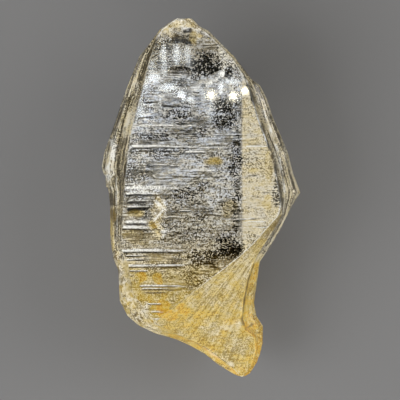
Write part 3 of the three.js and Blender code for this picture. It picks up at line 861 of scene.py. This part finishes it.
def painted_highlight_mask(x, y, kind):
    """Painted highlights on the risers of the named ledges, along bright veins and along edges of the
    front face, and bright lines along the edge of the rest face.
    """
    half, most, least = RIM_HIGHLIGHT
    rim = bright_edge_line(x, y, FRONT_LEFT, half) * np.clip(fade(y, RIM_LINE), least, most)
    rim = rim * gaps(x * 0, y, *EDGE_GAPS) * np.isin(kind, ["front", "band"])
    half, most, least = SNAP_HIGHLIGHT
    snap = bright_edge_line(x, y, BREAK_LINE, half) * np.maximum(most * fade(y, SNAP_LINE), least)
    half, most = BACK_BRIGHT_LINE
    back_line = bright_edge_line(x, y, BACK_RIGHT, half) * most * np.isin(kind, BEHIND)
    return np.maximum.reduce([
        ledge_lines(x, y, kind, RISER_HIGHLIGHT_COLUMN, 0),
        vein_lines(x, y, kind, 1),
        rim + snap * np.isin(kind, ["front", "broken"]),
        back_line,
    ])


def painted_shade_lines_mask(x, y, kind):
    """Painted shade at the feet under the risers, and along dark veins."""
    return np.maximum(ledge_lines(x, y, kind, FOOT_SHADE_COLUMN, -1), vein_lines(x, y, kind, -1))


def back_mask(x, y, kind):
    """1 on the etched faces behind, 0 on the clear ones in front."""
    return np.isin(kind, BEHIND).astype(float)


def band_mask(x, y, kind):
    """1 on the faces drawn with long lines: the ridged bands at both sides and the broken face."""
    plain = np.maximum(BANDED["crust"] * crusted_band(x, y, kind), BANDED["foot"] * fade(y, PLAIN_BAND))
    ribbed = BANDED["broken"] + BANDED["low broken"] * fade(y, PLAIN_BREAK)
    return (kind == "band") * (1 - plain) + (kind == "broken") * ribbed


def polish_mask(x, y, kind):
    """1 on the growth faces, which are as smooth as glass, and 0 where the quartz is broken or crusted."""
    crusted = np.maximum.reduce([
        fade(y, CRUSTED_BAND) * (kind == "band"),
        rough_ends(y) * (kind != "front"),
        crumb_mask(x, y, kind),
    ])
    return by_kind(kind, POLISH) * (1 - crusted)


def across_mask(x, y, kind):
    """Millimetres across the lines of a face: round the crystal, or round the break's corner."""
    round_it = np.cumsum([BAND_PITCH / COLUMNS[name] for name in kind[0]])
    return np.where(kind == "broken", fan_angle(x, y) * FAN_REACH, round_it)


MASKS = {
    "stain": stain_mask,
    "haze": haze_mask,
    "frost": frost_mask,
    "bruise": bruise_mask,
    "shade": painted_shade_mask,
    "back": back_mask,
    "band": band_mask,
    "across": across_mask,
    "ledge": painted_highlight_mask,
    "painted_shade_lines": painted_shade_lines_mask,
    "polish": polish_mask,
    "crumb": crumb_mask,
}


# ---------------------------------------------------------------- the mesh
def grid_faces(rows, columns):
    """Quads of a grid that closes on itself across, turned outwards, as corner numbers."""
    row, column = np.meshgrid(np.arange(rows - 1), np.arange(columns), indexing="ij")
    a = row * columns + column
    b = row * columns + (column + 1) % columns
    return np.stack([b, a, a + columns, b + columns], 2).reshape(-1, 4)


def to_frame(points):
    """Millimetres to metres, with the crystal's middle and rest face where the solid has them."""
    middle = [(LOW.x + HIGH.x) / 2, (LOW.y + HIGH.y) / 2, LOW.z]
    return points * SCALE + np.array(middle)


def crystal_mesh(name):
    """The loft as a mesh: quads between rows, a fan over each end, and its masks as attributes."""
    points, kinds, hard = crystal_grid()
    rows, columns = points.shape[:2]
    quads = grid_faces(rows, columns)
    flat = points.reshape(-1, 3)
    ends = np.stack([points[0].mean(0), points[-1].mean(0)])
    around = np.arange(columns)
    following = (around + 1) % columns
    tip = np.stack([around, following, np.full(columns, len(flat))], 1)
    last = (rows - 1) * columns
    foot = np.stack([last + following, last + around, np.full(columns, len(flat) + 1)], 1)
    mesh = bpy.data.meshes.new(name)
    mesh.from_pydata(
        to_frame(np.concatenate([flat, ends])).tolist(),
        [],
        quads.tolist() + tip.tolist() + foot.tolist(),
    )
    x, y = points[..., 0], points[..., 1]
    kind = np.broadcast_to(kinds, x.shape)
    for label, mask in MASKS.items():
        values = mask(x, y, kind)
        values = np.concatenate([values.reshape(-1), values[[0, -1]].mean(1)])
        attribute = mesh.attributes.new(label, "FLOAT", "POINT")
        attribute.data.foreach_set("value", values.astype(np.float32))
    mesh.shade_smooth()
    edges = np.zeros(len(mesh.edges) * 2, int)
    mesh.edges.foreach_get("vertices", edges)
    first, second = edges.reshape(-1, 2).T
    on_long_edge = np.zeros(len(flat) + 2, bool)
    on_long_edge[: len(flat)] = np.tile(hard, rows)
    sharp = on_long_edge[first] & on_long_edge[second] & (np.abs(first - second) % columns == 0)
    marks = mesh.attributes.new("sharp_edge", "BOOLEAN", "EDGE")
    marks.data.foreach_set("value", sharp)
    mesh.validate()
    return mesh


# ---------------------------------------------------------------- materials
def colour(code):
    """An sRGB hex colour as linear red, green, blue and alpha 1."""
    parts = [int(code[i : i + 2], 16) / 255 for i in (1, 3, 5)]
    return [c / 12.92 if c <= 0.04045 else ((c + 0.055) / 1.055) ** 2.4 for c in parts] + [1.0]


def node(tree, kind, inputs=None, **settings):
    """Adds a node, sets its properties, and fills or links its inputs."""
    made = tree.nodes.new(kind)
    for key, value in settings.items():
        setattr(made, key, value)
    for key, value in (inputs or {}).items():
        if isinstance(value, bpy.types.NodeSocket):
            tree.links.new(value, made.inputs[key])
        else:
            made.inputs[key].default_value = value
    return made


def quartz_material(settings):
    """Quartz, grown in hot water: clear, glassy where it grew, sugary where it is etched or broken."""
    material = bpy.data.materials.new("quartz_natural_iron_stained")
    material.use_nodes = True
    tree = material.node_tree
    tree.nodes.clear()
    place = node(tree, "ShaderNodeTexCoord").outputs["Object"]
    split = node(tree, "ShaderNodeSeparateXYZ", {"Vector": place})

    def add(name, *values, **settings):
        """Adds a node by its short name, with values for its sockets in order, and gives its result."""
        kind, fixed, sockets, result = NODES[name]
        return node(tree, kind, dict(zip(sockets, values)), **fixed, **settings).outputs[result]

    def past(pattern, limit, soft):
        """How far a pattern is over a limit, in units of soft, between 0 and 1."""
        return add("over", add("minus", pattern, limit), soft, use_clamp=True)

    stain, haze, frost, bruise, shade, back, band, across, ledge, painted_shade_lines, polish, crumb = (
        add("mask", attribute_name=name) for name in MASKS
    )
    flat = {"X": add("times", across, MM), "Y": split.outputs["Y"]}
    flat_place = node(tree, "ShaderNodeCombineXYZ", flat).outputs[0]
    noises, etchings = {}, {}
    for name, (size, finer, detail) in NOISES.items():
        where = flat_place if name == "lines" else place
        scaled = add("scaled", where, [share / (size * MM) for share in finer])
        raw = add("noise", scaled, 1, detail, NOISE_ROUGHNESS)
        noises[name] = add("follow", raw, *FOLLOWS["noise"])
    # Etchings are noises added up by weight about their common middle of a half
    for name, weights in ETCHINGS.items():
        total = 0.5 - sum(weights.values()) / 2
        for pattern, weight in weights.items():
            total = add("weighed", noises[pattern], weight, total)
        etchings[name] = total

    rightward = add("follow", split.outputs["X"], *FOLLOWS["rightward"])
    etched = add("between", rightward, etchings["lined"], etchings["even"])
    calm = add("follow", noises["calm"], *FOLLOWS["calm"])
    etched = add("between", calm, etched, etchings["calm"])
    clumped = add("follow", shade, *FOLLOWS["clumped"])
    etched = add("between", clumped, etched, etchings["clumped"])
    etched = add("between", band, etched, etchings["banded"])
    etched = add("between", crumb, etched, etchings["crumbly"])
    patchy = add("follow", noises["cloud"], *FOLLOWS["patchy"])
    soft = add("follow", band, *FOLLOWS["softness"])

    # Painted shade: dark flecks and patches painted into the colour, and lines along ledge feet and dark
    # veins
    limit = add("follow", add("plus", shade, patchy), *FOLLOWS["dark limit"])
    dark = past(add("minus", 1.0, etched), limit, soft)
    dark = add("times", dark, add("follow", shade, *FOLLOWS["dark share"]))
    in_stain = add("follow", stain, *FOLLOWS["dark in stain"])
    faded = add("times", in_stain, add("follow", haze, *FOLLOWS["dark in haze"]))
    dark = add("times", dark, add("highest", faded, add("times", crumb, DARK_CRUMB)))
    gloomy = add("times", painted_shade_lines, add("follow", etched, *FOLLOWS["gloom gaps"]))
    dark = add("highest", dark, gloomy)
    dark = add("times", dark, add("minus", 1.0, ledge), use_clamp=True)

    # Milky bruises, and painted highlights on ledges, veins and edges
    limit = add("follow", add("minus", bruise, patchy), *FOLLOWS["milky limit"])
    milky = add("times", past(etched, limit, soft), add("follow", bruise, *FOLLOWS["milky share"]))
    bright = add("times", ledge, add("follow", etched, *FOLLOWS["ledge gaps"]))
    milky = add("highest", milky, bright)

    # Iron stain, from clear through honey to rust, with painted shade over it
    palest = add("minus", PALEST_STAIN, add("times", crumb, PALER_CRUMB))
    blotchy = add("follow", noises["blotch"], *FOLLOWS["blotchy stain"])
    uneven = add("times", blotchy, add("follow", etched, *FOLLOWS["etched stain"], palest))
    uneven = add("times", uneven, add("minus", 1.0, add("times", ledge, PALER_UNDER_HIGHLIGHT)))
    creamy = add("follow", noises["cream"], *FOLLOWS["cream"])
    stained = add("plus", add("times", stain, uneven), creamy, use_clamp=True)
    ramp = node(tree, "ShaderNodeValToRGB", {"Fac": stained})
    steps = ramp.color_ramp.elements
    steps[0].color = settings.clear_colour
    steps[1].color = settings.rust_colour
    for share, code in STAIN_STEPS:
        steps.new(share).color = colour(code)
    steps.new(HONEY_SHARE).color = settings.honey_colour
    # Colour of the painted shade: its own colour, darker on the bands, brown where stained or crumbly
    shade_tint = add("mix", band, list(settings.painted_shade_colour), colour(PAINTED_LINE_SHADE))
    browned = add("follow", stain, *FOLLOWS["brown painted shade"])
    browned = add("highest", browned, add("times", crumb, BROWN_CRUMB))
    shade_tint = add("mix", browned, shade_tint, colour(PAINTED_BROWN_SHADE))
    # How much painted shade shows: it comes in steeply
    deep = add("minus", 1.0, add("power", add("minus", 1.0, dark), DARK_DEPTH))
    # Painted highlights white on the ledges, veins and edges, then painted shade over all
    tint = add("mix", ledge, ramp.outputs["Color"], colour(PAINTED_HIGHLIGHT_WHITE))
    tint = add("mix", deep, tint, shade_tint)

    # Cloudiness, which takes away from what shines through and roughens it
    sugar = add("times", haze, add("follow", etched, *FOLLOWS["sugar"]))
    cloudy = add("highest", milky, add("plus", sugar, add("times", stained, STAIN_CLOUD)))
    veil = add("follow", noises["veil"], *FOLLOWS["veil"])
    veil = add("times", veil, add("minus", polish, dark, use_clamp=True))
    cloudy = add("highest", cloudy, veil)
    rough = add("follow", cloudy, *FOLLOWS["rough"])
    rough = add("highest", rough, add("times", frost, FROST_ROUGHNESS))
    rough = add("highest", rough, add("follow", polish, *FOLLOWS["rough break"]))

    height = add("between", band, noises["hair"], noises["lines"])
    height = add("between", crumb, height, noises["crumbs"])
    reach = add("plus", add("times", back, BACK_BUMP), add("times", band, BAND_BUMP))
    reach = add("plus", reach, add("times", crumb, settings.crumb_height))
    reach = add("plus", reach, LEAST_BUMP)
    bump = node(tree, "ShaderNodeBump", {"Height": height, "Strength": BUMP_STRENGTH, "Distance": reach})
    looks = {
        "Base Color": tint,
        "Roughness": rough,
        "IOR": QUARTZ_IOR,
        "Transmission Weight": add("follow", cloudy, *FOLLOWS["clear"]),
        "Normal": bump.outputs["Normal"],
        "Coat Weight": add("minus", polish, ledge, use_clamp=True),
        "Coat Roughness": COAT_ROUGHNESS,
        "Coat IOR": QUARTZ_IOR,
    }
    shader = node(tree, "ShaderNodeBsdfPrincipled", looks)
    body = {"Color": settings.body_colour, "Density": settings.body_density}
    absorb = node(tree, "ShaderNodeVolumeAbsorption", body)
    ends = {"Surface": shader.outputs[0], "Volume": absorb.outputs[0]}
    node(tree, "ShaderNodeOutputMaterial", ends)
    return material


def stage_material(name, shade, roughness, shine):
    """A plain material of one colour."""
    material = bpy.data.materials.new(name)
    material.use_nodes = True
    inputs = material.node_tree.nodes["Principled BSDF"].inputs
    inputs["Base Color"].default_value = shade
    inputs["Roughness"].default_value = roughness
    inputs["Specular IOR Level"].default_value = shine
    return material


def flat_square(name, half, height, material):
    """Adds a level square to the stage, by half its side and its height."""
    turns = [(-1, -1), (1, -1), (1, 1), (-1, 1)]
    mesh = bpy.data.meshes.new(name)
    mesh.from_pydata([(x * half, y * half, height) for x, y in turns], [], [(0, 1, 2, 3)])
    square = bpy.data.objects.new(name, mesh)
    bpy.context.scene.collection.objects.link(square)
    mesh.materials.append(material)


# ---------------------------------------------------------------- settings
class QuartzSettings(bpy.types.PropertyGroup):
    """Colours and sizes of the quartz that a user would change."""

    clear_colour: bpy.props.FloatVectorProperty(
        name="Clear quartz", description="Tint of the quartz where no iron stains it",
        subtype="COLOR", size=4, min=0, max=1, default=colour("#dae2ef"),
    )
    honey_colour: bpy.props.FloatVectorProperty(
        name="Honey stain", description="Tint of the quartz on its iron-stained, broken foot",
        subtype="COLOR", size=4, min=0, max=1, default=colour("#d9b545"),
    )
    rust_colour: bpy.props.FloatVectorProperty(
        name="Thickest stain", description="Tint of the quartz where the iron film is thickest",
        subtype="COLOR", size=4, min=0, max=1, default=colour("#c4922a"),
    )
    # Painted shade: colour of the dark flecks and patches
    painted_shade_colour: bpy.props.FloatVectorProperty(
        name="Painted shade", description="Colour of the painted shade in dark flecks and patches",
        subtype="COLOR", size=4, min=0, max=1, default=colour("#0b0b08"),
    )
    body_colour: bpy.props.FloatVectorProperty(
        name="Body colour", description="Colour that light takes on inside the quartz",
        subtype="COLOR", size=4, min=0, max=1, default=colour("#f3eedc"),
    )
    body_density: bpy.props.FloatProperty(
        name="Body density", description="How strongly the quartz colours light, per metre",
        min=0, default=8.0,
    )
    crumb_height: bpy.props.FloatProperty(
        name="Crumb height", description="Height of the crumbs at the tip and foot",
        unit="LENGTH", subtype="DISTANCE", precision=5, min=0, default=0.2 * MM,
    )


class StageSettings(bpy.types.PropertyGroup):
    """Sizes and colours of the stage that a user would change."""

    floor_colour: bpy.props.FloatVectorProperty(
        name="Floor", description="Colour of the board under the crystal",
        subtype="COLOR", size=4, min=0, max=1, default=colour("#6d6d6e"),
    )
    room_colour: bpy.props.FloatVectorProperty(
        name="Room light", description="Colour of the light from all round",
        subtype="COLOR", size=4, min=0, max=1, default=colour("#9a9892"),
    )
    room_strength: bpy.props.FloatProperty(
        name="Room strength", description="Strength of the light from all round", min=0, default=1.2,
    )
    softbox_share: bpy.props.FloatProperty(
        name="Softboxes", description="Strength of all the softboxes, as a share of their set power",
        min=0, default=1.0,
    )
    card_height: bpy.props.FloatProperty(
        name="Card height", description="Height of the black card over the crystal",
        unit="LENGTH", subtype="DISTANCE", min=0, default=0.7,
    )
    lens: bpy.props.FloatProperty(
        name="Lens", description="Focal length of the camera", unit="CAMERA", min=1, default=190.0,
    )


# ---------------------------------------------------------------- operators
class QUARTZ_OT_crystal(bpy.types.Operator):
    """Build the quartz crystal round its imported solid"""

    bl_idname = "quartz.crystal"
    bl_label = "Quartz crystal"

    def execute(self, context):
        piece = bpy.data.objects.new("clear_quartz", crystal_mesh("clear_quartz"))
        context.scene.collection.objects.link(piece)
        piece.data.materials.append(quartz_material(context.scene.quartz_settings))
        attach(piece, "root")
        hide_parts(NODE)
        return {"FINISHED"}


def area_light(name, at, size, watts, aim, tint, diffuse):
    """Adds a soft rectangular lamp that faces a point, and gives its data."""
    lamp = bpy.data.lights.new(name, "AREA")
    lamp.shape = "RECTANGLE"
    lamp.size, lamp.size_y = size
    lamp.energy = watts
    lamp.color = colour(tint)[:3]
    holder = bpy.data.objects.new(name, lamp)
    bpy.context.scene.collection.objects.link(holder)
    holder.location = at
    holder.rotation_euler = (Vector(aim) - Vector(at)).to_track_quat("-Z", "Y").to_euler()
    holder.visible_diffuse = diffuse
    return lamp


class QUARTZ_OT_stage(bpy.types.Operator):
    """Add the floor, the soft lights and the camera"""

    bl_idname = "quartz.stage"
    bl_label = "Stage"

    def execute(self, context):
        scene = context.scene
        settings = scene.stage_settings
        # Matt grey board: pressed paper, so it is even and dull
        board = stage_material("grey_board_matt", settings.floor_colour, *FLOOR_FINISH)
        flat_square("floor", FLOOR_HALF, FLOOR_HEIGHT, board)
        # Black velvet takes nearly all light, so its mirror image leaves a polished face dark
        velvet = stage_material("black_velvet_card", colour(CARD_BLACK), *CARD_FINISH)
        flat_square("card_over_camera", CARD_HALF, settings.card_height, velvet)
        world = bpy.data.worlds.new("studio")
        world.use_nodes = True
        room = world.node_tree.nodes["Background"].inputs
        room["Color"].default_value = settings.room_colour
        room["Strength"].default_value = settings.room_strength
        scene.world = world
        for name, at, size, watts, aim, tint, diffuse in SOFTBOXES:
            area_light(name, at, size, watts * settings.softbox_share, aim, tint, diffuse)
        for index, (x, y, wide, high, bright) in enumerate(PANES):
            at = (x * MIRRORED, y * MIRRORED, OVERHEAD)
            size = (wide * MIRRORED, high * MIRRORED)
            watts = PANE_POWER * bright * size[0] * size[1]
            pane = area_light(f"pane_{index}", at, size, watts, (*at[:2], 0), PANE_TINT, False)
            pane.shape = "ELLIPSE"
        for index, (x, y) in enumerate(LAMPS):
            at = (x * MIRRORED, y * MIRRORED, OVERHEAD)
            size = (LAMP_SIZE, LAMP_SIZE)
            lamp = area_light(f"lamp_{index}", at, size, LAMP_WATTS, (*at[:2], 0), LAMP_TINT, False)
            lamp.shape = "DISK"
        camera = bpy.data.cameras.new("camera")
        camera.lens = settings.lens
        camera.sensor_width = SENSOR
        camera.clip_start, camera.clip_end = CAMERA_CLIP
        holder = bpy.data.objects.new("camera", camera)
        scene.collection.objects.link(holder)
        holder.location = (CAMERA_X, 0, SEEN_HEIGHT + SEEN_WIDTH / SENSOR * settings.lens * MM)
        scene.camera = holder
        scene.view_settings.view_transform = "Standard"
        return {"FINISHED"}


class QUARTZ_PT_panel(bpy.types.Panel):
    """Buttons for the crystal and its stage"""

    bl_idname = "QUARTZ_PT_panel"
    bl_label = "Quartz crystal"
    bl_space_type = "VIEW_3D"
    bl_region_type = "UI"
    bl_category = "Quartz"

    def draw(self, context):
        scene = context.scene
        buttons = {"quartz.crystal": scene.quartz_settings, "quartz.stage": scene.stage_settings}
        for label, settings in buttons.items():
            self.layout.operator(label)
            for name in settings.__annotations__:
                self.layout.prop(settings, name)


CLASSES = [QuartzSettings, StageSettings, QUARTZ_OT_crystal, QUARTZ_OT_stage, QUARTZ_PT_panel]


def register():
    for each in CLASSES:
        bpy.utils.register_class(each)
    bpy.types.Scene.quartz_settings = bpy.props.PointerProperty(type=QuartzSettings)
    bpy.types.Scene.stage_settings = bpy.props.PointerProperty(type=StageSettings)


def unregister():
    del bpy.types.Scene.stage_settings
    del bpy.types.Scene.quartz_settings
    for each in reversed(CLASSES):
        bpy.utils.unregister_class(each)


def main():
    """Registers the add-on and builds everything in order."""
    register()
    bpy.ops.quartz.crystal()
    bpy.ops.quartz.stage()


if __name__ == "__main__":
    main()
